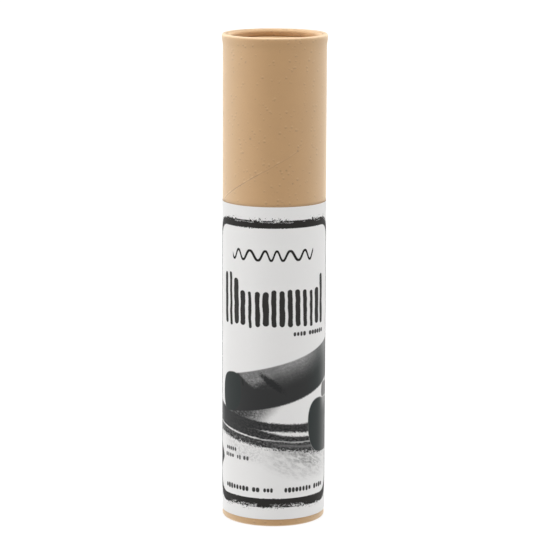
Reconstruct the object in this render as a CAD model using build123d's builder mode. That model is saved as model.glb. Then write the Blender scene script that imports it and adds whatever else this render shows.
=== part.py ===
"""A cardboard tube pack of drawing charcoal.

Two spiral-wound kraft tubes of one outside diameter, the body and its cap, meet end to end.
An inner tube glued into the body stands up as a neck, and the cap slides down over it.
A thick disc closes each far end behind a rolled rim, a printed paper label wraps the body,
and the charcoal sticks stand loose inside.

Millimetres, +Z up, with the origin in the middle of the base. The label's overlap is at +Y.
"""

import math
import os

from build123d import *

os.makedirs("parts", exist_ok=True)

# Driving dimensions.
tube_radius = 21.0  # outside of the body and of the cap
tube_length = 199.6  # from the base to the top of the cap's rim
tube_wall = 1.5
label_bottom = 3.1
label_top = 131.7
label_thickness = 0.12
label_overlap = 8.0  # length round the tube where the label's end covers its start
joint_height = label_top + 0.15  # where the cap meets the body, just above the label's edge
rim_width = 2 * tube_wall + 0.16  # the wall rolled over on itself, with the fold's own slack
cap_rim_bulge = 0.37  # how far the cap's rolled rim stands out past its wall
cap_rim_fold = 0.5  # on the inner lower edge of that rim
base_rim_round = 1.3  # on the outer edge of the rim that the pack stands on
base_rim_fold = 1.2  # on the two inner edges of that rim
disc_thickness = 2.0
disc_clearance = 0.05  # a film of glue between a disc and the wall round it
slide_clearance = 0.05  # radial, between the inner tube and the cap
inner_wall = 0.95
neck_height = 18.0  # how far the inner tube stands up past the joint
edge_round = 0.3
stick_length = 150.0
stick_length_spread = 3.0
stick_diameter = 5.9
stick_diameter_spread = 0.3
stick_taper = 0.12  # how much less the radius is at the thin end
stick_gap = 0.28  # least space between neighbours, and between a stick and the wall
stick_rings = (3, 9, 13)  # sticks in each ring, from the middle outwards: 25 in all
stick_edge = 0.35

# Dimensions that follow from those.
bore_radius = tube_radius - tube_wall
inner_outer_radius = bore_radius - slide_clearance
inner_bore_radius = inner_outer_radius - inner_wall
disc_radius = bore_radius - disc_clearance
base_disc_bottom = rim_width + disc_clearance
base_disc_top = base_disc_bottom + disc_thickness
cap_disc_bottom = tube_length - rim_width - disc_clearance - disc_thickness
inner_tube_bottom = base_disc_top + disc_clearance
inner_tube_top = joint_height + neck_height
stick_floor = base_disc_top + disc_clearance


def scattered(n):
    """A number from -1 to 1 that jumps about evenly as n counts up."""
    return 2 * ((n * (math.sqrt(5) - 1) / 2) % 1) - 1


def stick_radius(i):
    return (stick_diameter + stick_diameter_spread * scattered(i + 1)) / 2


def stick_top(i):
    return stick_floor + stick_length + stick_length_spread * scattered((i + 2) ** 2)


def ring_places():
    """First places for the sticks: rings, each turned from the one inside it."""
    places = []
    for ring, count in enumerate(stick_rings):
        ring_radius = ring * stick_diameter + stick_diameter / math.sqrt(3)
        for k in range(count):
            angle = 2 * math.pi * (k + 0.35 * ring) / count
            places.append([ring_radius * math.cos(angle), ring_radius * math.sin(angle)])
    return places


def settle(places, rounds=4000):
    """Push the sticks off each other and off the wall until every gap is there."""
    for _ in range(rounds):
        moved = 0.0
        for i, place in enumerate(places):
            out = math.hypot(*place)
            limit = inner_bore_radius - stick_gap - stick_radius(i)
            if out > limit:
                moved = max(moved, out - limit)
                place[:] = [c * limit / out for c in place]
            for j in range(i):
                apart = math.dist(place, places[j])
                short = stick_radius(i) + stick_radius(j) + stick_gap - apart
                if short > 0:
                    moved = max(moved, short)
                    step = [(a - b) * short / apart / 2 for a, b in zip(place, places[j])]
                    place[:] = [a + s for a, s in zip(place, step)]
                    places[j][:] = [b - s for b, s in zip(places[j], step)]
        if moved < 0.001:
            break
    return places


def save(part, name):
    part.label = name
    export_step(part, f"parts/{name}.step")


# The body: one wall, rolled inwards at the base into a rim twice as thick.
with BuildPart() as body_tube:
    with BuildSketch(Plane.XZ) as body_profile:
        with Locations((tube_radius, 0)):
            Rectangle(tube_wall, joint_height, align=(Align.MAX, Align.MIN))
            Rectangle(rim_width, rim_width, align=(Align.MAX, Align.MIN))
        base_corners = body_profile.vertices().group_by(Axis.Y)[0].sort_by(Axis.X)
        fold_corner = body_profile.vertices().group_by(Axis.Y)[1].sort_by(Axis.X)[0]
        fillet([base_corners[0], fold_corner], base_rim_fold)
        fillet(body_profile.vertices().group_by(Axis.Y)[0].sort_by(Axis.X)[-1], base_rim_round)
    revolve(axis=Axis.Z)
save(body_tube.part, "body_tube")

# The disc that closes the base rests on the rolled rim.
with BuildPart() as base_disc:
    with BuildSketch(Plane.XY.offset(base_disc_bottom)):
        Circle(disc_radius)
    extrude(amount=disc_thickness)
    fillet(base_disc.edges(), edge_round)
save(base_disc.part, "base_disc")

# The inner tube stands on the disc and ends in the neck that the cap slides over.
with BuildPart() as inner_tube:
    with BuildSketch(Plane.XY.offset(inner_tube_bottom)):
        Circle(inner_outer_radius)
        Circle(inner_bore_radius, mode=Mode.SUBTRACT)
    extrude(amount=inner_tube_top - inner_tube_bottom)
    fillet(inner_tube.edges().group_by(Axis.Z)[-1], edge_round)
save(inner_tube.part, "inner_tube")

# The label goes once round the body, and its end covers its start at the back.
label_outer = tube_radius + label_thickness
overlap_angle = math.degrees(label_overlap / label_outer)
overlap_start = math.radians(90 - overlap_angle / 2)
overlap_plane = Plane(
    origin=(0, 0, 0),
    x_dir=(math.cos(overlap_start), math.sin(overlap_start), 0),
    z_dir=(math.sin(overlap_start), -math.cos(overlap_start), 0),
)
with BuildPart() as label:
    with BuildSketch(Plane.XY.offset(label_bottom)):
        Circle(label_outer)
        Circle(tube_radius, mode=Mode.SUBTRACT)
    extrude(amount=label_top - label_bottom)
    with BuildSketch(overlap_plane):
        with Locations((label_outer - label_thickness / 2, label_bottom)):
            Rectangle(1.5 * label_thickness, label_top - label_bottom, align=(Align.MIN, Align.MIN))
    revolve(axis=Axis.Z, revolution_arc=overlap_angle)
save(label.part, "label")

# The cap: a wall rolled inwards at the top, over a round edge, and down against itself.
with BuildPart() as cap_tube:
    with BuildSketch(Plane.XZ) as cap_profile:
        roll_radius = rim_width / 2
        roll_height = tube_length - roll_radius
        with Locations((tube_radius, joint_height)):
            Rectangle(tube_wall, roll_height - joint_height, align=(Align.MAX, Align.MIN))
        with Locations((tube_radius + cap_rim_bulge - roll_radius, roll_height)):
            Circle(roll_radius)
        with Locations((tube_radius, roll_height)):
            Rectangle(rim_width - cap_rim_bulge, roll_radius, align=(Align.MAX, Align.MAX))
        fold_corners = cap_profile.vertices().group_by(Axis.X)[0].sort_by(Axis.Y)
        fillet(fold_corners[0], cap_rim_fold)
    revolve(axis=Axis.Z)
save(cap_tube.part, "cap_tube")

# The disc that closes the cap sits up against the rolled rim.
with BuildPart() as cap_disc:
    with BuildSketch(Plane.XY.offset(cap_disc_bottom)):
        Circle(disc_radius)
    extrude(amount=disc_thickness)
    fillet(cap_disc.edges(), edge_round)
save(cap_disc.part, "cap_disc")

# The sticks: each its own thickness and length, every other one thick end down.
for i, (x, y) in enumerate(settle(ring_places())):
    low, high = stick_floor, stick_top(i)
    thick = stick_radius(i)
    thin = thick - stick_taper
    low_radius, high_radius = (thick, thin) if i % 2 else (thin, thick)
    with BuildPart() as stick:
        with BuildSketch(Plane(origin=(x, y, 0), x_dir=(1, 0, 0), z_dir=(0, -1, 0))):
            with BuildLine():
                Polyline(
                    (0, low),
                    (low_radius - stick_edge, low),
                    (low_radius, low + stick_edge),
                    (high_radius, high - stick_edge),
                    (high_radius - stick_edge, high),
                    (0, high),
                    close=True,
                )
            make_face()
        revolve(axis=Axis((x, y, 0), (0, 0, 1)))
    save(stick.part, f"charcoal_stick_{i + 1:02d}")
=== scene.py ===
"""The looks of a cardboard tube pack of drawing charcoal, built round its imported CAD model.

The front of the pack faces -Y. Lengths are in metres, except in the label's print, which is laid
out in millimetres.
"""

import math
import random

import bmesh
import bpy
from mathutils import Matrix, Vector, noise


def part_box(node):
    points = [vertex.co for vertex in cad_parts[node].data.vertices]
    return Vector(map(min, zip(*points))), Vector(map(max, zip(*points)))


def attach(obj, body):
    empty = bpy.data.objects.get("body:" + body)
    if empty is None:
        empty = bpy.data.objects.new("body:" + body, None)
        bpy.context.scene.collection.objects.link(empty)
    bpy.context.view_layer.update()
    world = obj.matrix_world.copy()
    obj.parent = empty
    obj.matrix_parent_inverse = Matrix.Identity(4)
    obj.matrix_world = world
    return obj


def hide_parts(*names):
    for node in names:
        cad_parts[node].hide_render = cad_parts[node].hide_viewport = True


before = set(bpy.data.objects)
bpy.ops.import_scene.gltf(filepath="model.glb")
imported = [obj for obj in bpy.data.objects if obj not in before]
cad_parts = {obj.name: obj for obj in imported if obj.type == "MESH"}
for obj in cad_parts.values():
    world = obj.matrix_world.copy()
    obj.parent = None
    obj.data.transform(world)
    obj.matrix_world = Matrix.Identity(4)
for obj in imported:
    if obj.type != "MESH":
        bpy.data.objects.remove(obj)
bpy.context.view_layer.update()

MM = 0.001
TURN = 2 * math.pi
GLUE = 0.05 * MM  # the film of glue round a disc
INNER_WALL = 0.95 * MM  # of the inner tube

# ---------------------------------------------------------------- sizes, from the frame
cap_low, cap_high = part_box("cap_tube")
body_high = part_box("body_tube")[1]
neck_low, neck_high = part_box("inner_tube")
label_low, label_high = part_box("label")
cap_disc_low, cap_disc_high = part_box("cap_disc")
base_disc_low, base_disc_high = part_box("base_disc")

tube_radius = body_high.x
rim_radius = cap_high.x
neck_radius = neck_high.x
label_radius = label_high.x
disc_radius = cap_disc_high.x
rim_width = cap_high.z - cap_disc_high.z - GLUE  # the disc sits just under the rolled rim
bore_radius = disc_radius + GLUE
neck_bore = neck_radius - INNER_WALL
top = cap_high.z
joint = cap_low.z

# ---------------------------------------------------------------- winding
# The kraft ply is a strip wound in a helix that climbs to the right.
WIND_SLOPE = 0.57
CAP_SEAM = 148.3 * MM  # the height at which the cap's seam crosses the front
BODY_SEAM = 22.0 * MM
NECK_SEAM = 141.0 * MM
STUCK_FROM, STUCK_TO = 1.0 * MM, 8.0 * MM  # above that height the strip's edge is glued down flat


# ================================================================ colours, in linear light
KRAFT_LIGHT, KRAFT_DARK = (0.45, 0.25, 0.095), (0.385, 0.213, 0.08)
# The paler kraft below is used for painted highlights: on the knots' upper sides, along the strip's lifted
# lip and on the rim's crest.
KRAFT_HIGHLIGHT = (0.76, 0.55, 0.34)
NECK_LIGHT, NECK_DARK = (0.50, 0.36, 0.24), (0.41, 0.28, 0.18)
CUT_LIGHT, CUT_DARK = (0.62, 0.44, 0.27), (0.42, 0.27, 0.15)  # the cut edge of the board
DISC_LIGHT, DISC_DARK = (0.58, 0.38, 0.21), (0.44, 0.27, 0.14)
COAL, COAL_DUST = (0.011, 0.011, 0.012), (0.1, 0.1, 0.105)
PAPER_WHITE, PAPER_GREY = (0.86, 0.853, 0.846), (0.80, 0.794, 0.787)
LINE_INK = (0.013, 0.011, 0.0095)  # the frame and the lines: a warm black
PICTURE_INK, END_INK = (0.009, 0.0098, 0.0105), (0.005, 0.0125, 0.0118)


# ================================================================ shader arithmetic
class Field:
    """A number that varies over a surface: a shader socket that does arithmetic."""

    def __init__(self, tree, socket):
        self.tree = tree
        self.socket = socket

    def node(self, kind, **settings):
        """A new shader node in the same tree."""
        made = self.tree.nodes.new("ShaderNode" + kind)
        for key, value in settings.items():
            setattr(made, key, value)
        return made

    def feed(self, socket, value):
        """Link or set a socket, as the value is a Field or a number."""
        if isinstance(value, Field):
            self.tree.links.new(value.socket, socket)
        else:
            socket.default_value = value

    def math(self, operation, *others):
        made = self.node("Math", operation=operation)
        for socket, value in zip(made.inputs, (self, *others)):
            self.feed(socket, value)
        return Field(self.tree, made.outputs[0])

    def __add__(self, other):
        return self.math("ADD", other)

    __radd__ = __add__

    def __mul__(self, other):
        return self.math("MULTIPLY", other)

    __rmul__ = __mul__

    def __sub__(self, other):
        return self.math("SUBTRACT", other)

    def __rsub__(self, other):
        return self.math("MULTIPLY_ADD", -1.0, other)

    def __truediv__(self, other):
        return self.math("DIVIDE", other)

    def __neg__(self):
        return self.math("MULTIPLY", -1.0)

    def abs(self):
        return self.math("ABSOLUTE")

    def min(self, other):
        return self.math("MINIMUM", other)

    def max(self, other):
        return self.math("MAXIMUM", other)

    def power(self, exponent):
        return self.math("POWER", exponent)

    def clamp(self):
        made = self.node("Clamp")
        self.feed(made.inputs[0], self)
        return Field(self.tree, made.outputs[0])

    def ramp(self, start, end):
        """0 where this is at or before start, 1 at or past end, smooth between."""
        made = self.node("MapRange", interpolation_type="SMOOTHSTEP")
        self.feed(made.inputs["Value"], self)
        low, high = (start, end) if start < end else (end, start)
        made.inputs["From Min"].default_value = low
        made.inputs["From Max"].default_value = high
        made.inputs["To Min"].default_value = float(start > end)
        made.inputs["To Max"].default_value = float(start < end)
        return Field(self.tree, made.outputs["Result"])

    def inside(self, low, high, soft):
        """1 between low and high, 0 outside, with an edge this soft."""
        return self.ramp(low - soft, low + soft) * self.ramp(high + soft, high - soft)


def vector(x, y, z=0.0):
    """The Fields and numbers x, y and z as one vector."""
    made = x.node("CombineXYZ")
    for socket, value in zip(made.inputs, (x, y, z)):
        x.feed(socket, value)
    return Field(x.tree, made.outputs[0])


def texture(at, kind, output, **inputs):
    """A texture node's output at a vector Field, as a Field. Underscores stand for spaces."""
    made = at.node(kind)
    at.tree.links.new(at.socket, made.inputs["Vector"])
    for key, value in inputs.items():
        made.inputs[key.replace("_", " ").title()].default_value = value
    return Field(at.tree, made.outputs[output])


def cloud(at, scale, detail=2.0, roughness=0.5):
    """Noise from 0 to 1 with its middle at 0.5."""
    return texture(at, "TexNoise", 0, scale=scale, detail=detail, roughness=roughness)


def dice(number, seed):
    """A chance value from 0 to 1 for each whole number."""
    made = number.node("TexWhiteNoise", noise_dimensions="1D")
    number.tree.links.new((number + seed).socket, made.inputs["W"])
    return Field(number.tree, made.outputs["Value"])


def mix(tree, amount, a, b):
    """Colour a where amount is 0 and b where it is 1. A colour is a tuple or a Field."""
    made = tree.nodes.new("ShaderNodeMix")
    made.data_type = "RGBA"
    for socket, value in ((made.inputs[0], amount), (made.inputs[6], a), (made.inputs[7], b)):
        if isinstance(value, Field):
            tree.links.new(value.socket, socket)
        else:
            socket.default_value = (*value, 1.0) if isinstance(value, tuple) else value
    return Field(tree, made.outputs[2])


def new_material(name, roughness, specular):
    """A material, its Principled shader and a Field to start arithmetic from."""
    material = bpy.data.materials.new(name)
    material.use_nodes = True
    tree = material.node_tree
    shader = tree.nodes["Principled BSDF"]
    shader.inputs["Roughness"].default_value = roughness
    shader.inputs["Specular IOR Level"].default_value = specular
    return material, tree, shader


def object_place(tree):
    """x, y, z of the surface point and the vector itself, in the object's own frame."""
    coords = tree.nodes.new("ShaderNodeTexCoord")
    split = tree.nodes.new("ShaderNodeSeparateXYZ")
    tree.links.new(coords.outputs["Object"], split.inputs[0])
    x, y, z = [Field(tree, s) for s in split.outputs]
    return x, y, z, Field(tree, coords.outputs["Object"])


def set_bump(tree, shader, height, distance, strength):
    bump = tree.nodes.new("ShaderNodeBump")
    bump.inputs["Distance"].default_value = distance
    bump.inputs["Strength"].default_value = strength
    tree.links.new(height.socket, bump.inputs["Height"])
    tree.links.new(bump.outputs[0], shader.inputs["Normal"])


# ================================================================ materials
def lump_field(x, y, z, drop):
    """Small raised knots of fibre under the paper, 0 to 1, seen this far higher up."""
    at = vector(x + cloud(vector(x, y, z), 900, 1) * (0.9 * MM), y, z + drop)
    knots = texture(at, "TexVoronoi", "Distance", scale=480, randomness=1.0)
    return knots.ramp(0.34, 0.1) * cloud(at, 330, 1).ramp(0.43, 0.57)


def stretched(at, factor):
    """Places squeezed along z by this factor, so that what is drawn with them comes out long."""
    squeeze = at.node("Mapping")
    at.tree.links.new(at.socket, squeeze.inputs["Vector"])
    squeeze.inputs["Scale"].default_value = (1, 1, factor)
    return Field(at.tree, squeeze.outputs[0])


def unwound(place, z, radius, slope):
    """Places turned back about the axis by as much as the winding has turned at their height."""
    along = place.node("VectorRotate", rotation_type="Z_AXIS")
    place.tree.links.new(place.socket, along.inputs["Vector"])
    turn = z * (-1 / (slope * radius))
    place.tree.links.new(turn.socket, along.inputs["Angle"])
    return Field(place.tree, along.outputs[0])


def strip_seam(x, y, z, place, seam_height, radius, slope):
    """The groove between two turns of the strip, and the lip of lifted paper above it, 0 to 1."""
    round_wall = x.math("ARCTAN2", -y) * radius
    rise = z - seam_height - round_wall * slope + (cloud(place, 260, 3) - 0.5) * (0.5 * MM)
    half_pitch = abs(slope) * math.pi * radius
    off_seam = rise.math("WRAP", half_pitch, -half_pitch) * math.cos(math.atan(slope))
    stuck_down = z.ramp(seam_height + STUCK_FROM, seam_height + STUCK_TO) * 0.95
    lifted = (cloud(place, 170, 2).ramp(0.4, 0.62) * 0.6 + 0.4) * (1 - stuck_down)
    seam = off_seam.abs().ramp(0.24 * MM, 0.05 * MM) * lifted
    beads = cloud(place, 420, 1).ramp(0.45, 0.6)
    lip = (off_seam - 0.45 * MM).abs().ramp(0.42 * MM, 0.1 * MM) * lifted * beads
    return seam, lip


def kraft(name, light, dark, seam_height, seam_radius, slope, crest=None):
    """Kraft paper wound in a strip, with fibres along the winding, specks and a glued seam.

    Where a crest is given, the outer edge just below that height is painted paler, as a painted highlight
    along the rim.
    """
    material, tree, shader = new_material(name, 0.65, 0.15)
    x, y, z, place = object_place(tree)
    fibres = cloud(stretched(unwound(place, z, seam_radius, slope), 0.35), 2200, 3, 0.65)
    mottle = cloud(place, 150, 3, 0.55)
    grain = cloud(place, 1700, 2, 0.6)
    lumps = lump_field(x, y, z, 0.0) - lump_field(x, y, z, 0.4 * MM)  # painted light above each knot and painted shade below it
    dots = texture(place, "TexVoronoi", "Distance", scale=290, randomness=1.0)
    specks = dots.ramp(0.17, 0.07) * cloud(place, 210, 1).ramp(0.5, 0.62)
    seam, lip = strip_seam(x, y, z, place, seam_height, seam_radius, slope)

    tone = (fibres - 0.5) * 0.5 + (mottle - 0.5) * 0.7 + (grain - 0.5) * 0.35 + 0.5
    colour = mix(tree, tone.clamp(), dark, light)
    # Painted shade under the knots, together with the real dark specks and the dark seam groove.
    knot_shade_specks_and_seam = (-lumps).max(0) * 0.55 + specks * 0.5 + seam * 0.65
    colour = mix(tree, knot_shade_specks_and_seam.clamp(), colour, tuple(c * 0.35 for c in dark))
    # Painted highlight: the knots' upper sides and the strip's lifted lip are made paler.
    colour = mix(tree, (lumps.max(0) * 0.18 + lip * 0.3).clamp(), colour, KRAFT_HIGHLIGHT)
    if crest:
        # Painted highlight: the outer edge just below the crest is made paler, standing in for the rim's
        # highlight.
        from_axis = (x * x + y * y).math("SQRT")
        near_crest = z.ramp(crest - 1.3 * MM, crest - 0.4 * MM)
        rubbed = near_crest * from_axis.ramp(seam_radius - 1.6 * MM, seam_radius - 0.6 * MM)
        colour = mix(tree, rubbed * 0.85, colour, KRAFT_HIGHLIGHT)
    tree.links.new(colour.socket, shader.inputs["Base Color"])
    shader.inputs["Sheen Weight"].default_value = 1.0
    shader.inputs["Sheen Roughness"].default_value = 0.7
    shader.inputs["Sheen Tint"].default_value = (1.0, 0.84, 0.65, 1.0)
    height = fibres * 0.4 + grain * 0.3 + lump_field(x, y, z, 0.2 * MM) * 0.5 - specks * 0.8 - seam * 0.7
    set_bump(tree, shader, height, 0.07 * MM, 0.6)
    return material


def board_edge(name, light, dark):
    """The cut edge of rolled board: thin plies in rings, and loose fibre between them."""
    material, tree, shader = new_material(name, 0.78, 0.3)
    x, y, _, place = object_place(tree)
    from_axis = (x * x + y * y).math("SQRT")
    plies = (from_axis * (TURN / (0.33 * MM)) + cloud(place, 350, 2) * 3.0).math("SINE")
    grain = cloud(place, 1800, 3, 0.6)
    tone = plies * 0.2 + (grain - 0.5) * 0.7 + 0.5
    tree.links.new(mix(tree, tone.clamp(), dark, light).socket, shader.inputs["Base Color"])
    set_bump(tree, shader, plies * 0.3 + grain, 0.06 * MM, 0.6)
    return material


def disc_board(name, light, dark):
    """Pressed board of a closing disc: mottled, with short fibres lying every way."""
    material, tree, shader = new_material(name, 0.8, 0.3)
    x, y, z, place = object_place(tree)
    warp = cloud(place, 420, 2)
    swirl = vector(x + warp * 0.004, y - warp * 0.004, z)
    fibres = (cloud(swirl, 1500, 2, 0.6) - 0.5).abs().ramp(0.05, 0.0)
    mottle = cloud(place, 260, 4, 0.6)
    grain = cloud(place, 2600, 2, 0.6)
    tone = mottle * 0.5 + grain * 0.35 + 0.08
    colour = mix(tree, tone.clamp(), dark, light)
    colour = mix(tree, fibres * 0.3, colour, tuple(0.45 * c for c in dark))
    tree.links.new(colour.socket, shader.inputs["Base Color"])
    set_bump(tree, shader, grain * 0.6 + mottle + fibres * 0.4, 0.08 * MM, 0.6)
    return material


def charcoal(name):
    """Burnt willow: matt black, grained along the stick, with grey dust rubbed on in patches."""
    material, tree, shader = new_material(name, 0.7, 0.32)
    place = object_place(tree)[-1]
    grain = cloud(stretched(place, 0.05), 1700, 4, 0.65)
    dust = cloud(place, 260, 4, 0.6)
    fine = cloud(place, 2600, 2, 0.5)
    tone = grain.ramp(0.35, 0.75) * 0.55 + dust.ramp(0.42, 0.75) * 0.5 + (fine - 0.5) * 0.3
    colour = mix(tree, tone.clamp(), COAL, COAL_DUST)
    tree.links.new(colour.socket, shader.inputs["Base Color"])
    return material


# ================================================================ the label's print
# The print is laid out in millimetres: u round the label from the middle of its front, to the
# right, and v up from the surface that the pack stands on.
FRAME_LOW, FRAME_HIGH = 11.8, 123.1  # the clean inner edge of the frame
WAVE_LEVEL, WAVE_REACH = 112, 1.9
BARS_SIDE, BARS_PITCH = 25.2, 3.36  # half the width of the row of brush strokes, and its pitch
BARS_FOOT, BARS_HEAD = 82.2, 96.8
FADE = (64, 50)  # between these, round on the right side, the drawn sticks fade out
# Two curves of the picture: where each is centred, its level there, its lean and its bow.
STICK_FOOT = (-16.0, 46.9, 0.13, 0.0031)  # the lower edge of the thick stick
STROKES_HEAD = (15, 42.3, -0.02, 0.003)  # the upper edge of the drawn strokes


class Print:
    """Ink laid on the label's paper, layer over layer, as darkness from 0 to 1."""

    def __init__(self, tree, x, y, z):
        self.tree = tree
        self.u = x.math("ARCTAN2", -y) * (label_radius / MM)
        self.v = z * (1 / MM)
        self.sheet = vector(self.u, self.v)
        self.tooth = cloud(self.sheet, 1.9, 4, 0.8) - 0.5  # of drawing paper
        slanted = vector(self.u + self.v * 0.3, self.v * 1.2)
        self.grit = cloud(slanted, 0.95, 5, 0.8) - 0.5  # of rubbed charcoal
        self.ink = None

    def lay(self, amount):
        """Put ink down where it is darker than what is there."""
        self.ink = amount if self.ink is None else self.ink.max(amount)

    def wipe(self, amount):
        """Take ink away."""
        self.ink = self.ink * (1 - amount)

    def cover(self):
        """How much of the paper the ink hides, so that even steps of darkness look even."""
        return 1 - (1 - self.ink.clamp()).power(2.2)

    def ellipse(self, centre_u, centre_v, half_width, half_height, lean=0.0, climb=0.0, power=2.0):
        """Distance from an ellipse's middle, 1 at its edge. A higher power squares its corners."""
        across = (self.u - centre_u - (self.v - centre_v) * lean).abs() / half_width
        along = (self.v - centre_v - (self.u - centre_u) * climb).abs() / half_height
        return (across.power(power) + along.power(power)).power(1 / power)

    def arc(self, centre, level, lean, bow):
        """How far above a shallow curve the point lies."""
        away = self.u - centre
        return self.v - level - away * lean - away * away * bow


def between(low, high, soft):
    """1 between two curves, given as heights above them."""
    return low.ramp(-soft, soft) * high.ramp(soft, -soft)


def rounded_box(art, half_width, low, high, corner):
    """Distance outside a rounded box centred on the front: negative inside."""
    across = art.u.abs() - (half_width - corner)
    up = (art.v - (low + high) / 2).abs() - ((high - low) / 2 - corner)
    over, above = across.max(0), up.max(0)
    outside = (over * over + above * above).math("SQRT")
    return outside + across.max(up).min(0) - corner


def print_frame(art):
    """A heavy round-cornered frame, clean inside and worn to tatters along its outer edge."""
    # The left side swells inwards near its foot.
    swelling = art.u.ramp(-24, -26) * art.v.inside(23.5, 29.5, 3) * 3.7
    nibbles = (cloud(art.sheet, 1.3, 3, 0.7) - 0.5) * cloud(art.sheet, 0.11, 1).ramp(0.45, 0.6) * 1.6
    inner = rounded_box(art, 30.1, FRAME_LOW, FRAME_HIGH, 6.8) + swelling + nibbles
    outer = rounded_box(art, 31.7, 8.1, 126.2, 8.5)
    wear = cloud(art.sheet, 0.16, 1).ramp(0.38, 0.62)
    tatters = (cloud(art.sheet, 0.95, 4, 0.75) - 0.5) * 7.0
    edge = outer + tatters * (wear * 0.8 + 0.08)
    art.lay(inner.ramp(-0.12, 0.12) * edge.ramp(0.15, -0.15) * 0.83)
    crumbs = (cloud(art.sheet, 1.6, 2) - 0.62).ramp(0.0, 0.03) * outer.inside(-0.2, 1.3, 0.3) * wear
    art.lay(crumbs * 0.7)
    # One thin scratch runs along the top, and flakes are worn off the lower edge.
    scratch = art.v + (cloud(art.sheet, 0.12, 1) - 0.5) * 1.2 + art.grit * 2
    art.wipe(scratch.inside(125.4, 125.6, 0.12) * cloud(art.sheet, 0.17, 2).ramp(0.5, 0.54) * 0.85)
    flakes = cloud(vector(art.u * 0.7, art.v * 1.3), 1.1, 4, 0.8)
    worn = (art.v + art.grit * 2).inside(7.5, 9.7, 0.6) * cloud(art.sheet, 0.09, 1).ramp(0.42, 0.56)
    art.wipe((flakes + worn * 0.12).ramp(0.6, 0.66) * worn * 0.9)


def print_wave(art):
    """A wavy pen line in the place of a name."""
    phase = art.u * 1.12 + (art.u * 0.37).math("SINE") * 0.7
    reach = art.v - WAVE_LEVEL - phase.math("SINE") * WAVE_REACH
    slope = phase.math("COSINE") * 2.0
    away = reach.abs() / (slope * slope + 1).math("SQRT")
    art.lay(away.ramp(0.56, 0.34) * art.u.inside(-19, 17.6, 0.2) * 0.86)


def print_bars(art):
    """A row of upright brush strokes of uneven width and height in the place of a title."""
    lean = art.u + (art.v - 90) * 0.015 + (cloud(art.sheet, 0.2, 1) - 0.5) * 0.8
    turn = (lean + BARS_SIDE) / BARS_PITCH
    number = turn.math("FLOOR")
    across = (turn - number - 0.5) * BARS_PITCH
    width, height = dice(number, 0.0), dice(number, 31.5)
    half_width = width * 0.65 + 0.62
    outlying = number.ramp(2.6, 1.6).max(number.ramp(13.2, 13.8))  # the first two and the last are tall
    top_v = outlying * 6.0 + height * 1.4 + BARS_HEAD
    foot_v = width * 1.2 + BARS_FOOT
    middle = (top_v + foot_v) * 0.5
    past_end = ((art.v - middle).abs() - (top_v - foot_v) * 0.5 + half_width).max(0)
    away = (across * across + past_end * past_end).math("SQRT") - half_width
    row = lean.inside(-BARS_SIDE, BARS_SIDE, 0.1)
    art.lay((away + art.tooth * 0.4).ramp(0.16, -0.1) * row * 0.79)


def print_dabs(art, left, right, level, size, ink):
    """A row of small uneven dabs in the place of a word of small print."""
    pitch = (right - left) / round((right - left) / (1.75 * size))
    turn = (art.u - left) / pitch
    number = turn.math("FLOOR")
    width, height = dice(number, level + left), dice(number, level - left)
    half_width = width * (0.1 * pitch) + 0.34 * pitch
    half_height = height * (0.35 * size) + 0.85 * size
    across = ((turn - number - 0.5) * pitch / half_width).abs()
    up = ((art.v - level) / half_height).abs()
    away = (across.power(2.4) + up.power(2.4)).power(1 / 2.4)
    art.lay((away + art.tooth * 0.5).ramp(1.2, 0.85) * art.u.inside(left, right, 0.1) * ink)


def print_stick(art):
    """A thick charcoal stick lying across the label, seen from its sawn end."""
    upper = art.arc(-16.5, 62.85, 0.215, 0.0013)
    lower = art.arc(*STICK_FOOT)
    body = upper.ramp(0.3, -0.3) * (lower + art.grit).ramp(-0.4, 0.5)
    body = body * art.u.ramp(-21.4, -20.4) * art.u.ramp(*FADE)
    depth = lower / (lower - upper)  # 0 at the stick's lower edge, 1 at its upper edge
    streaks = cloud(vector(art.u * 0.3, art.v - art.u * 0.25), 0.6, 4, 0.65) - 0.5
    # Grey dust lies on the near half of its upper side, and the far half is smooth and lit from above.
    dusty = (depth + streaks * 0.4 + art.grit * 0.3).ramp(0.5, 0.8) * (1 - (art.u + art.grit * 4).ramp(-4, 3))
    dusty = dusty * (art.v + art.u * 0.8 + art.grit * 1.5).ramp(49.8, 51.2)
    smooth = art.u.ramp(-4, 4) * (depth + art.grit * 0.2).ramp(0.35, 1.15) * (1 - art.u.ramp(12, 24) * 0.5)
    scar = (1.2 - art.ellipse(-0.6, 59.8, 4.8, 1.7, 0.0, -0.7) + art.grit * 3).ramp(0.0, 0.5)
    grey = dusty * (0.33 + streaks * 0.3 + art.grit * 0.7) + smooth * (0.5 + streaks * 0.4 + art.grit * 0.4)
    art.lay(body * (0.765 - grey.max(0) * (1 - scar * 0.9) + scar * 0.05))
    end = art.ellipse(-20.2, 54.8, 5.9, 8.1, 0.0, 0.15, 2.7).ramp(1.03, 0.97)
    art.lay(end * 0.775)
    notch = art.ellipse(-13.4, 59.4, 0.7, 2.4, -0.2).ramp(1.4, 0.5)
    art.lay(notch * 0.82)
    return end.max(body * art.u.ramp(12, 22))


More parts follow.
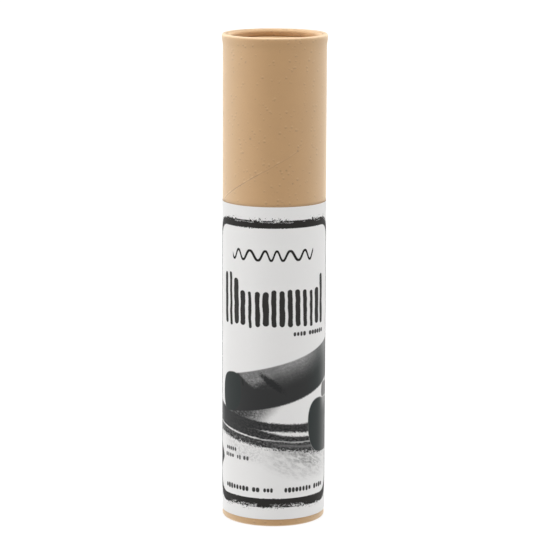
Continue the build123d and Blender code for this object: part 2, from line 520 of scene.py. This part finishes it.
def print_strokes(art):
    """Broad soft strokes drawn across the label, with bare paper between."""
    sweep = (cloud(vector(art.u * 0.1, art.v), 0.9, 4, 0.6) - 0.5) * 1.2
    first_top = art.arc(*STROKES_HEAD) + art.grit * 3
    first_foot = art.arc(15, 38.7, -0.09, -0.0006) + sweep * 0.5 + art.grit * 3
    second_top = art.arc(15, 36.9, -0.06, 0.005) + sweep * 0.5 + art.grit * 3
    second_foot = art.arc(15, 34.7, -0.06, 0.0018) + sweep
    third_foot = art.arc(15, 30.4, -0.14, 0.0003) + sweep + art.grit * 8
    across = art.u.inside(-31, 24, 1.0)
    rough = art.grit * (art.u.ramp(-20, 0) * 0.8 + 0.2)
    art.lay(between(first_foot, first_top, 0.4) * across * (0.76 + rough * 0.9))
    art.lay(between(second_foot, second_top, 0.4) * across * (0.75 + rough * 1.3))
    third = (0.69 + sweep * 0.1 + art.grit * 1.6).min(0.8)
    art.lay(between(third_foot, second_foot, 0.6) * across * third)
    # Bare paper shows in a slit under the second stroke and in patches down the middle of the third.
    slit = (second_foot.abs() - 0.26 + art.grit * 1.2).ramp(0.25, -0.12)
    art.wipe(slit * (0.9 - art.u.ramp(-12, 2) * 0.5))
    middle = (art.arc(15, 32.7, -0.11, 0.0006) + sweep).abs()
    art.wipe(middle.ramp(0.9, 0.1) * (0.3 + art.grit * 2).clamp() * art.u.ramp(-4, 6) * 0.7)


def print_dust(art):
    """Charcoal dust: a smudge in the corner above the strokes and a rubbed cloud below them."""
    lower = art.arc(*STICK_FOOT) - 1.0
    first_top = art.arc(*STROKES_HEAD) + 1.0
    reach = art.u - (art.v - 47) * 0.9
    smudge = between(first_top, lower, 0.6) * (reach + art.grit * 9).ramp(2.0, -6.0)
    smudge = smudge * art.u.ramp(-24, -18)
    art.lay(smudge * (0.68 - (reach + 8).ramp(-6, 6) * 0.34 + art.grit * 1.5))
    # Below the strokes it lies in slanting drifts, thickest near the middle.
    drift = cloud(vector(art.u * 0.35 - art.v * 0.2, art.v + art.u * 0.55), 0.62, 4, 0.7).ramp(0.36, 0.66)
    below = art.arc(15, 31.2, -0.14, 0.0003)
    patch = (1 - art.ellipse(13.0, 26.4, 21.5, 8.8, 0.0, -0.12)).ramp(0.0, 0.5)
    near = art.ellipse(14.5, 27.4, 9.5, 3.6, 0.0, -0.25).ramp(1.3, 0.2)
    fringe = below.ramp(-4.0, 0.6) * art.u.ramp(-14, 6) * 0.13
    rubbed = patch * (0.02 + drift * 0.1 + near * drift * 0.17 + fringe) * (1 + art.grit * 4).max(0)
    art.lay(rubbed * below.ramp(1.2, 0.2))
    thin = art.arc(-14, 31.7, -0.2, 0.0).inside(-3.5, 2.5, 2.0) * art.u.inside(-22, -4, 5)
    art.lay(thin * (0.05 + art.grit * 0.8))


def print_other_sticks(art):
    """The sawn end of a second stick, which runs on round the label to the right, and a third."""
    face = art.ellipse(22.6, 40.6, 7.2, 11.3, -0.06, 0.0, 2.4).ramp(1.03, 0.97)
    side = art.u.ramp(22.0, 22.6) * art.arc(22, 40.2, -0.03, 0.0).inside(-11.1, 11.2, 0.2)
    side = side * art.u.ramp(*FADE)
    shape = face.max(side)
    art.wipe(shape)
    lit = art.v.ramp(44, 52) * art.u.ramp(22.5, 27) * 0.32
    art.lay(shape * (0.765 - lit))
    third = art.ellipse(27.0, 54.6, 2.3, 3.2, 0.1, 0.0, 3.0).ramp(1.15, 0.85)
    third = third.max(art.u.ramp(27.2, 28.4) * art.v.inside(51.7, 57.5, 0.4) * art.u.ramp(*FADE))
    art.lay(third * 0.62)
    return face


# The rows of dabs: each one's left and right end, its level, its size and how dark it is.
WORDS = (
    (-23.6, -10.4, 15.3, 0.92, 0.74),
    (-9.0, -5.6, 15.3, 0.92, 0.74),
    (-4.2, 0.0, 15.3, 0.92, 0.74),
    (4.4, 17.2, 15.3, 0.92, 0.74),
    (18.6, 25.3, 15.3, 0.92, 0.74),
    (-24.2, -18.2, 28.0, 0.8, 0.6),
    (-16.6, -14.2, 28.0, 0.8, 0.6),
    (-13.2, -10.3, 28.0, 0.8, 0.6),
    (-23.6, -16.7, 30.9, 0.8, 0.6),
    (8.0, 14.0, 79.8, 0.85, 0.7),
    (15.4, 25.0, 79.8, 0.85, 0.7),
)


def label_paper(name):
    """Smooth white paper with the picture printed on it, and over that the frame and the lines."""
    material, tree, shader = new_material(name, 0.5, 0.1)
    shader.inputs["Diffuse Roughness"].default_value = 1.0
    x, y, z, place = object_place(tree)
    tooth = (cloud(place, 900, 3, 0.6) - 0.5) * 0.3
    colour = mix(tree, (tooth + 0.5).clamp(), PAPER_GREY, PAPER_WHITE)

    picture = Print(tree, x, y, z)
    end = print_stick(picture)
    print_dust(picture)
    print_strokes(picture)
    other_end = print_other_sticks(picture)
    # Painted reflection: the picture's ink is lightened towards its right and left edges round the label.
    painted_reflection_right = picture.u.ramp(20.5, 29) * picture.u.ramp(42, 31) * 0.32
    painted_reflection_left = picture.u.ramp(-25.5, -28) * 0.2
    picture.wipe(painted_reflection_right + painted_reflection_left)
    ink = mix(tree, end.max(other_end), PICTURE_INK, END_INK)
    colour = mix(tree, picture.cover(), colour, ink)

    lines = Print(tree, x, y, z)
    print_frame(lines)
    print_wave(lines)
    print_bars(lines)
    for word in WORDS:
        print_dabs(lines, *word)
    colour = mix(tree, lines.cover(), colour, LINE_INK)

    tree.links.new(colour.socket, shader.inputs["Base Color"])
    set_bump(tree, shader, cloud(place, 1400, 2), 0.01 * MM, 0.5)
    return material


# ================================================================ mesh building
def skin(name, rows, across, materials, around=True, over=True):
    """A mesh through rows of points. Seen from outside, a row runs to the right and the next is above.

    around joins each row's end to its start; over joins the last row to the first. across is where
    each column lies in the unwrapped sheet, from 0 to 1.
    """
    count = len(rows[0])
    verts = [point for row in rows for point in row]
    up = [0.0]
    for low, high in zip(rows, rows[1:] + rows[:1]):
        up.append(up[-1] + (Vector(high[0]) - Vector(low[0])).length)
    faces, corners = [], []
    for k in range(len(rows) if over else len(rows) - 1):
        for j in range(count if around else count - 1):
            right, above = (j + 1) % count, (k + 1) % len(rows)
            faces.append((k * count + j, k * count + right, above * count + right, above * count + j))
            left_u, right_u = across[j], across[j + 1]
            low_v, high_v = up[k] / up[-1], up[k + 1] / up[-1]
            corners += [(left_u, low_v), (right_u, low_v), (right_u, high_v), (left_u, high_v)]
    if not over:
        last = (len(rows) - 1) * count
        faces.append(tuple(range(count - 1, -1, -1)))
        faces.append(tuple(range(last, last + count)))
        corners += [(across[j], 0.0) for j in range(count - 1, -1, -1)]
        corners += [(across[j], up[len(rows) - 1] / up[-1]) for j in range(count)]
    mesh = bpy.data.meshes.new(name)
    mesh.from_pydata(verts, [], faces)
    layer = mesh.uv_layers.new(name="OFBake")
    layer.data.foreach_set("uv", [c for corner in corners for c in corner])
    mesh.polygons.foreach_set("use_smooth", [True] * len(faces))
    mesh.set_sharp_from_angle(angle=math.radians(48))
    for material in materials:
        mesh.materials.append(material)
    piece = bpy.data.objects.new(name, mesh)
    bpy.context.scene.collection.objects.link(piece)
    return piece


def round_the_axis(radius, angle, height, centre=(0.0, 0.0)):
    """A point at this angle from the front, to the right."""
    return (centre[0] + radius * math.sin(angle), centre[1] - radius * math.cos(angle), height)


def arc(centre_radius, centre_height, radius, start, end, steps):
    """(radius, height) points round a circle; 0 degrees points away from the axis and 90 up."""
    turns = [math.radians(start + (end - start) * k / steps) for k in range(steps + 1)]
    return [(centre_radius + radius * math.cos(t), centre_height + radius * math.sin(t)) for t in turns]


def straight(radius, start, end, step):
    """(radius, height) points up or down a straight wall, both ends left out."""
    count = max(2, round(abs(end - start) / step))
    return [(radius, start + (end - start) * k / count) for k in range(1, count)]


def ripple(radius, angle, height, fineness, seed):
    """Smooth unevenness from -1 to 1 that joins up round the tube."""
    x, y, z = round_the_axis(radius, angle, height)
    return noise.noise(Vector((x, y, z)) * fineness + Vector((seed, seed, seed)))


def dress(piece, body, slot, *nodes):
    """Let a piece ride on a body and stand for these CAD nodes, which are hidden. The slot is not used."""
    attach(piece, body)
    for node in nodes:
        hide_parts(node)


# ================================================================ wound tubes
GROOVE, GROOVE_WIDTH = 0.10 * MM, 0.11 * MM  # the gap between two turns of the strip: depth, half width
LIP, LIP_WIDTH = 0.05 * MM, 0.22 * MM  # the strip's lifted edge beside it: height, half width
LIP_AWAY = 0.36 * MM  # from the groove's middle to the lip's
TUBE_WAVE, NECK_WAVE = 0.02 * MM, 0.012 * MM  # how far a wall strays from round
SEAM_STEPS = [step * MM for step in (0.08, 0.18, 0.32, 0.55, 0.9)]


def seam_relief(off):
    """The height of the surface this far to the right of the seam."""
    gap = math.exp(-((off / GROOVE_WIDTH) ** 2))
    lift = math.exp(-(((off + LIP_AWAY) / LIP_WIDTH) ** 2))
    return LIP * lift - GROOVE * gap


def wound_tube(name, outline, seam_height, slope, materials, wave, columns=104):
    """Sweeps a closed outline round the axis along the winding, with the strip's seam in it.

    The outline's points are (radius, height, how much of the seam shows there).
    """
    radius = max(point[0] for point in outline)
    across_seam = radius * math.sin(math.atan(abs(slope)))
    near = [step / across_seam for step in SEAM_STEPS]
    wide = TURN - 2 * near[-1]
    angles = [0.0] + near
    angles += [near[-1] + wide * k / columns for k in range(1, columns + 1)]
    angles += [TURN - step for step in reversed(near[:-1])]
    rows = []
    for point_radius, height, seam in outline:
        start = (height - seam_height) / (slope * radius)
        row = []
        for angle in angles:
            off = (angle if angle < math.pi else angle - TURN) * across_seam
            unglued = 0.55 + 0.45 * ripple(radius, start + angle, height, 45, 3.0)
            stuck = (height - seam_height - STUCK_FROM) / (STUCK_TO - STUCK_FROM)
            unglued *= 1 - 0.9 * min(1.0, max(0.0, stuck))
            relief = seam * unglued * seam_relief(off)
            relief += wave * (ripple(point_radius, start + angle, height, 70, 8.0) - 0.6)
            row.append(round_the_axis(point_radius + relief, start + angle, height))
        rows.append(row)
    across = [angle / TURN for angle in angles] + [1.0]
    return skin(name, rows, across, materials)


def paint_edges(piece, low, high):
    """Give the faces that lie flat between two heights the second material: the cut edge."""
    for face in piece.data.polygons:
        if low <= face.center.z <= high and abs(face.normal.z) > 0.7:
            face.material_index = 1


RIM_SHOULDER = 0.85 * MM  # from the rim's outside in to its crest, which is nearer than its middle
RIM_SETTLE = 0.1 * MM  # how far pressing has lowered that crest
RIM_TILT = 0.28 * MM  # how much lower still it is at the front, where the end isn't quite square


def flare_out(foot, head, steps=8):
    """(radius, height) points up the flare, from the wall to the rim's outside."""
    points = []
    for k in range(steps + 1):
        part = k / steps
        ease = (1 - math.cos(math.pi * part)) / 2
        points.append((tube_radius + (rim_radius - tube_radius) * ease, foot + (head - foot) * part))
    return points


def roll_over(roll, height, steps=24):
    """(radius, height) points over the rolled edge, from its outside over the crest to its inside."""
    points = []
    for k in range(1, steps + 1):
        turn = math.pi * k / steps
        if turn < math.pi / 2:
            reach, up = RIM_SHOULDER * math.cos(turn) ** 0.8, math.sin(turn) ** 0.8
        else:
            reach, up = (2 * roll - RIM_SHOULDER) * math.cos(turn), math.sin(turn)
        points.append((rim_radius - RIM_SHOULDER + reach, height + (roll - RIM_SETTLE) * up))
    return points


def make_cap(skin_material, edge_material):
    """The cap: a wall that flares a little into a rim rolled inwards and down against itself."""
    roll = rim_width / 2
    roll_centre, roll_height = rim_radius - roll, top - roll
    rim_bore = roll_centre - roll
    nick, fold = 0.18 * MM, 0.5 * MM
    flare_foot = roll_height - 3.6 * MM
    wall = [(tube_radius - nick, joint), (tube_radius, joint + nick)]
    wall += straight(tube_radius, joint + nick, flare_foot, 1.15 * MM)
    flare = flare_out(flare_foot, roll_height)
    rim = roll_over(roll, roll_height)
    rim_foot = top - rim_width
    rim += straight(rim_bore, roll_height, rim_foot + fold, 0.4 * MM)
    rim += arc(rim_bore + fold, rim_foot + fold, fold, 180, 270, 4)
    rim += [(bore_radius, rim_foot)]
    inside = straight(bore_radius, rim_foot, joint + nick, 2.3 * MM)
    foot = [(bore_radius, joint + nick), (bore_radius + nick, joint)]
    foot += [(bore_radius + (tube_radius - bore_radius) * k / 4, joint) for k in (1, 2, 3)]
    outline = [(*p, 1.0) for p in wall]
    outline += [(*p, 1.0 - k / (len(flare) - 1)) for k, p in enumerate(flare)]
    outline += [(*p, 0.0) for p in rim + inside + foot]
    materials = [skin_material, edge_material]
    piece = wound_tube("cap_wall", outline, CAP_SEAM, WIND_SLOPE, materials, TUBE_WAVE)
    for vertex in piece.data.vertices:  # the rim leans a little towards the front
        part = max(0.0, (vertex.co.z - flare_foot) / (top - flare_foot))
        vertex.co.z -= RIM_TILT * part * (0.5 - vertex.co.y / (2 * rim_radius))
    paint_edges(piece, joint - 0.1 * MM, joint + 0.1 * MM)
    return piece


def make_body(skin_material, edge_material):
    """The body: a straight wall, rolled inwards at the base into a rim with a flattened foot."""
    outer_round, fold = 1.3 * MM, 1.2 * MM
    rim_bore = tube_radius - rim_width
    nick = 0.15 * MM
    base = arc(rim_bore + fold, fold, fold, 180, 270, 7)
    base += [(rim_bore + fold + (rim_width - fold - outer_round) * k / 3, 0.0) for k in (1, 2)]
    base += arc(tube_radius - outer_round, outer_round, outer_round, 270, 360, 9)
    wall = straight(tube_radius, outer_round, joint - nick, 1.25 * MM)
    wall += [(tube_radius, joint - nick), (tube_radius - nick, joint)]
    edge = [(tube_radius - (tube_radius - bore_radius) * k / 4, joint) for k in (1, 2, 3)]
    edge += [(bore_radius + nick, joint), (bore_radius, joint - nick)]
    inside = straight(bore_radius, joint - nick, rim_width, 3.0 * MM)
    shelf = [(bore_radius, rim_width)] + arc(rim_bore + fold, rim_width - fold, fold, 90, 180, 7)
    outline = [(*p, 0.0) for p in base] + [(*p, 0.8) for p in wall]
    outline += [(*p, 0.0) for p in edge + inside + shelf]
    materials = [skin_material, edge_material]
    piece = wound_tube("body_wall", outline, BODY_SEAM, WIND_SLOPE, materials, TUBE_WAVE)
    paint_edges(piece, joint - 0.1 * MM, joint + 0.1 * MM)
    return piece


def make_neck(skin_material, edge_material):
    """The inner tube, wound the other way from a thinner, greyer board."""
    foot, head = neck_low.z, neck_high.z
    nick = 0.3 * MM
    outside = [(neck_radius, foot)] + straight(neck_radius, foot, head - nick, 1.6 * MM)
    lip = arc(neck_radius - nick, head - nick, nick, 0, 90, 4)
    lip += arc(neck_bore + nick, head - nick, nick, 90, 180, 4)
    inside = straight(neck_bore, head - nick, foot, 2.0 * MM) + [(neck_bore, foot)]
    outline = [(*p, 0.7) for p in outside] + [(*p, 0.0) for p in lip] + [(*p, 0.5) for p in inside]
    materials = [skin_material, edge_material]
    piece = wound_tube("neck_wall", outline, NECK_SEAM, -WIND_SLOPE, materials, NECK_WAVE)
    paint_edges(piece, head - 0.2 * MM, head + 0.1 * MM)
    return piece


# ================================================================ discs
DISC_SAG, DISC_WAVE = 0.16 * MM, 0.04 * MM  # how far a disc's face sinks in the middle, and waves


def make_disc(name, low, high, radius, material, seed):
    """A closing disc, punched from board: its faces sag a little and its edges are rounded."""
    count, edge = 96, 0.35 * MM
    rows = []
    reach = [radius * k / 22 for k in range(1, 22)] + [radius - edge]

    def face(height, direction):
        made = []
        for r in reach:
            row = []
            for j in range(count):
                angle = TURN * j / count
                sag = DISC_SAG * (1 - (r / radius) ** 2)
                sag += DISC_WAVE * (1 + ripple(r, angle, 0, 160, seed))
                row.append(round_the_axis(r, angle, height - direction * sag))
            made.append(row)
        return made

    rows += face(low, -1)
    edges = arc(radius - edge, low + edge, edge, 290, 360, 4)
    edges += arc(radius - edge, high - edge, edge, 0, 70, 4)
    for r, z in edges:
        rows.append([round_the_axis(r, TURN * j / count, z) for j in range(count)])
    rows += reversed(face(high, 1))
    return skin(name, rows, [j / count for j in range(count + 1)], [material], over=False)


# ================================================================ label
def close_sides(piece, levels, columns):
    """Close the two upright edges of a sheet whose rows go up its outside and down its inside."""
    sheet = bmesh.new()
    sheet.from_mesh(piece.data)
    sheet.verts.ensure_lookup_table()
    for column in (0, columns - 1):
        for k in range(levels - 1):
            loop = [k, k + 1, 2 * levels - 2 - k, 2 * levels - 1 - k]
            if column:
                loop.reverse()
            face = sheet.faces.new([sheet.verts[row * columns + column] for row in reversed(loop)])
            face.smooth = True
    sheet.to_mesh(piece.data)
    sheet.free()
    return piece


LABEL_LAP = 8.0 * MM  # how far the sheet's end covers its start, at the back
LABEL_SLOPE = 1.6 * MM  # how far the end takes to climb over the start
LABEL_WAVE = 0.012 * MM  # how far the paper stands off the tube in places
LABEL_BACK = 0.004 * MM  # from the tube's wall to the back of the paper


def make_label(material):
    """One sheet of paper, wrapped once round the body, its end lying over its start at the back."""
    thick = label_high.y - tube_radius
    sheet = thick / 2
    half_lap = LABEL_LAP / 2 / tube_radius
    start, end = -math.pi - half_lap, math.pi + half_lap
    climb = LABEL_SLOPE / tube_radius
    columns, levels = 120, 100
    angles = [start + (end - start) * j / columns for j in range(columns + 1)]
    angles += [math.pi - half_lap - climb * (1 - k / 4) for k in range(5)]
    angles = sorted(set(angles))
    heights = [label_low.z + (label_high.z - label_low.z) * k / levels for k in range(levels + 1)]

    def base(angle, height):
        over = min(1.0, max(0.0, (angle - (math.pi - half_lap - climb)) / climb))
        over = over * over * (3 - 2 * over)
        uneven = LABEL_WAVE * (1 + ripple(tube_radius, angle, height, 60, 5.0))
        return tube_radius + sheet * over + uneven * (1 - over)

    outer = [[round_the_axis(base(a, z) + sheet, a, z) for a in angles] for z in heights]
    inner = [[round_the_axis(base(a, z) + LABEL_BACK, a, z) for a in angles] for z in reversed(heights)]
    across = [(a - start) / (end - start) for a in angles]
    piece = skin("label_sheet", outer + inner, across, [material], around=False)
    return close_sides(piece, len(heights), len(angles))


# ================================================================ sticks
SAG = 0.04 * MM  # how far under its CAD size a stick's wood lies, on the whole
BULGE = 0.1 * MM  # the most that a knot may stand out
CHIP_WIDTH = 0.4  # radians round a stick's end, of its chipped edge


def end_radius(corners, centre, height):
    """The stick's radius beside one of its ends."""
    return max(math.hypot(c.x - centre.x, c.y - centre.y) for c in corners if abs(c.z - height) < MM)


def make_stick(number, material):
    """A length of charred willow: uneven, with bud scars, and its ends snapped or sawn off."""
    node = f"charcoal_stick_{number:02d}"
    low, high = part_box(node)
    centre = (low + high) / 2
    corners = [vertex.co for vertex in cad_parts[node].data.vertices]
    foot_radius = end_radius(corners, centre, low.z)
    head_radius = end_radius(corners, centre, high.z)
    draw = random.Random(400 + number)
    scars = []
    for k in range(3):
        scar_angle = draw.uniform(0, TURN)
        scars.append((scar_angle, low.z + (high.z - low.z) * draw.uniform(k, k + 0.3) / 3))
    tilt, tilt_way = draw.uniform(0.01, 0.06), draw.uniform(0, TURN)
    chip_way, chip_depth = draw.uniform(0, TURN), draw.uniform(0.0, 0.5) * MM
    columns, levels, bevel = 40, 96, 0.3 * MM
    long_bevel = 4 * bevel  # from an end to the first row of the plain side

    def side_radius(angle, height):
        part = (height - low.z) / (high.z - low.z)
        radius = foot_radius + (head_radius - foot_radius) * part
        x, y = math.sin(angle), math.cos(angle)
        lumps = noise.noise(Vector((x * 0.8, y * 0.8 + 9 * number, height * 55)))
        ridges = noise.noise(Vector((x * 5, y * 5 + 9 * number, height * 40)))
        swell = 0.07 * MM * lumps + 0.05 * MM * ridges
        for scar_angle, scar_height in scars:
            aside = (angle - scar_angle + math.pi) % TURN - math.pi
            off = math.hypot(aside * radius / (0.9 * MM), (height - scar_height) / (1.6 * MM))
            collar = 0.12 * MM * math.exp(-((off - 1.0) ** 2) * 3)
            pit = 0.3 * MM * math.exp(-((off * 1.9) ** 2))
            swell += collar - pit
        return radius + min(swell - SAG, BULGE)

    def end_rows(height, inward):
        """Rows from the edge of an end to its middle; inward points into the stick."""
        rows = []
        for part in (0.97, 0.86, 0.66, 0.44, 0.24, 0.13, 0.03):
            row = []
            for j in range(columns):
                angle = TURN * j / columns
                radius = (side_radius(angle, height + inward * bevel) - 0.7 * bevel) * part
                at = Vector((part * 3, angle * 1.3, 5.0 * number + height * 90))
                rough = 0.09 * MM * (1 + noise.noise(at))
                pith = 0.35 * MM * math.exp(-((radius / (0.42 * MM)) ** 2))
                slope = (radius * math.cos(angle - tilt_way) + foot_radius) * tilt
                sunk = inward * (rough + pith + slope)
                row.append(round_the_axis(radius, angle, height + sunk, centre))
            rows.append(row)
        return rows

    def side_row(height, shrink, inward):
        """A row of the side, shrunk towards an end; inward is 0 along the side."""
        row = []
        for j in range(columns):
            angle = TURN * j / columns
            radius = side_radius(angle, height)
            slope = (radius * math.cos(angle - tilt_way) + foot_radius) * tilt * abs(inward)
            from_chip = (angle - chip_way + math.pi) % TURN - math.pi
            chip = chip_depth * abs(inward) * math.exp(-((from_chip / CHIP_WIDTH) ** 2))
            level = height + inward * (slope + chip)
            row.append(round_the_axis(radius - shrink - chip * 0.4, angle, level, centre))
        return row

    rows = list(reversed(end_rows(low.z, 1)))
    rows += [side_row(low.z + 0.1 * MM, 0.6 * bevel, 1), side_row(low.z + bevel, 0.1 * bevel, 1)]
    side_low, side_high = low.z + long_bevel, high.z - long_bevel
    rows += [side_row(side_low + (side_high - side_low) * k / levels, 0.0, 0) for k in range(levels + 1)]
    rows += [side_row(high.z - bevel, 0.1 * bevel, -1), side_row(high.z - 0.1 * MM, 0.6 * bevel, -1)]
    rows += end_rows(high.z, -1)
    across = [j / columns for j in range(columns + 1)]
    return skin(f"willow_charcoal_{number:02d}", rows, across, [material], over=False), node


# ================================================================ making the pack
kraft_cap = kraft("kraft_cap", KRAFT_LIGHT, KRAFT_DARK, CAP_SEAM, tube_radius, WIND_SLOPE, top)
kraft_body = kraft("kraft_body", KRAFT_LIGHT, KRAFT_DARK, BODY_SEAM, tube_radius, WIND_SLOPE)
kraft_neck = kraft("kraft_neck", NECK_LIGHT, NECK_DARK, NECK_SEAM, neck_radius, -WIND_SLOPE)
cut_board = board_edge("cut_board", CUT_LIGHT, CUT_DARK)
disc_face = disc_board("disc_face", DISC_LIGHT, DISC_DARK)
print_paper = label_paper("print_paper")
willow = charcoal("willow_charcoal")

dress(make_cap(kraft_cap, cut_board), "cap", "kraft_tube", "cap_tube")
dress(make_body(kraft_body, cut_board), "body", "kraft_tube", "body_tube")
dress(make_neck(kraft_neck, cut_board), "body", "inner_board", "inner_tube")
dress(
    make_disc("cap_end_disc", cap_disc_low.z, cap_disc_high.z, disc_radius, disc_face, 1.0),
    "cap", "disc_board", "cap_disc",
)
dress(
    make_disc("base_end_disc", base_disc_low.z, base_disc_high.z, disc_radius, disc_face, 2.0),
    "body", "disc_board", "base_disc",
)
dress(make_label(print_paper), "body", "label_paper", "label")
sticks = sorted(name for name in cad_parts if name.startswith("charcoal_stick_"))
for number in range(1, len(sticks) + 1):
    piece, node = make_stick(number, willow)
    dress(piece, node, "charcoal", node)


# ================================================================ camera, room and light
LENS_MM = 172.8
CAMERA_AWAY, CAMERA_UP = 50.53 * tube_radius, 13.97 * tube_radius
CAMERA_PAN, CAMERA_DIP, CAMERA_ROLL = (math.radians(turn) for turn in (-0.021, 10.30, 0.229))

# Each panel: its bearing in degrees from the front, its half width, its soft edge and its strength.
PANELS = [(26, 20, 8, 1.65), (104, 28, 8, 0.86), (268, 17, 6, 7.3)]
ROOM_LIGHT, TOP_LIGHT, SEEN_LIGHT = 0.02, 6.2, 1.3
FLOOR_REACH, FLOOR_GREY, FLOOR_GLOW = 12.0, 0.12, 0.88


def add_camera():
    """A long lens a little above the pack, looking slightly down at it."""
    data = bpy.data.cameras.new("camera")
    data.lens = LENS_MM
    data.sensor_width = 36
    data.clip_end = 100
    camera = bpy.data.objects.new("camera", data)
    bpy.context.scene.collection.objects.link(camera)
    place = Matrix.Translation((0, -CAMERA_AWAY, CAMERA_UP))
    aim = Matrix.Rotation(CAMERA_PAN, 4, "Z") @ Matrix.Rotation(math.pi / 2 - CAMERA_DIP, 4, "X")
    camera.matrix_world = place @ aim @ Matrix.Rotation(CAMERA_ROLL, 4, "Z")
    bpy.context.scene.camera = camera


def add_floor():
    """A wide white floor lit from below, like a light table, so that hardly a shadow lies on it."""
    mesh = bpy.data.meshes.new("floor")
    corners = [(x * FLOOR_REACH, y * FLOOR_REACH, 0) for x, y in ((-1, -1), (1, -1), (1, 1), (-1, 1))]
    mesh.from_pydata(corners, [], [(0, 1, 2, 3)])
    material, _, shader = new_material("floor", 0.9, 0.0)
    shader.inputs["Base Color"].default_value = (FLOOR_GREY, FLOOR_GREY, FLOOR_GREY, 1)
    shader.inputs["Emission Color"].default_value = (1, 1, 1, 1)
    shader.inputs["Emission Strength"].default_value = FLOOR_GLOW
    mesh.materials.append(material)
    floor = bpy.data.objects.new("floor", mesh)
    bpy.context.scene.collection.objects.link(floor)


def light_room():
    """A dark studio: a strong low panel at the left, dimmer ones in front and right, one overhead."""
    world = bpy.data.worlds.new("studio")
    bpy.context.scene.world = world
    world.use_nodes = True
    tree = world.node_tree
    background = tree.nodes["Background"]
    coords = tree.nodes.new("ShaderNodeTexCoord")
    split = tree.nodes.new("ShaderNodeSeparateXYZ")
    tree.links.new(coords.outputs["Generated"], split.inputs[0])
    x, y, z = [Field(tree, s) for s in split.outputs]
    bearing = x.math("ARCTAN2", -y) * (360 / TURN)  # degrees from the front, to the right
    low = z.ramp(0.45, 0.25)  # the panels stand on the floor
    around = ROOM_LIGHT
    for middle, half_width, soft, light in PANELS:
        off = (bearing - middle).math("WRAP", 180.0, -180.0).abs()
        around = off.ramp(half_width + soft, half_width - soft) * low * light + around
    strength = around + z.ramp(0.78, 0.94) * TOP_LIGHT
    seen = Field(tree, tree.nodes.new("ShaderNodeLightPath").outputs["Is Camera Ray"])
    strength = strength * (1 - seen) + seen * SEEN_LIGHT
    tree.links.new(strength.socket, background.inputs["Strength"])
    background.inputs["Color"].default_value = (1, 1, 1, 1)


add_camera()
add_floor()
light_room()
bpy.context.scene.view_settings.view_transform = "Standard"
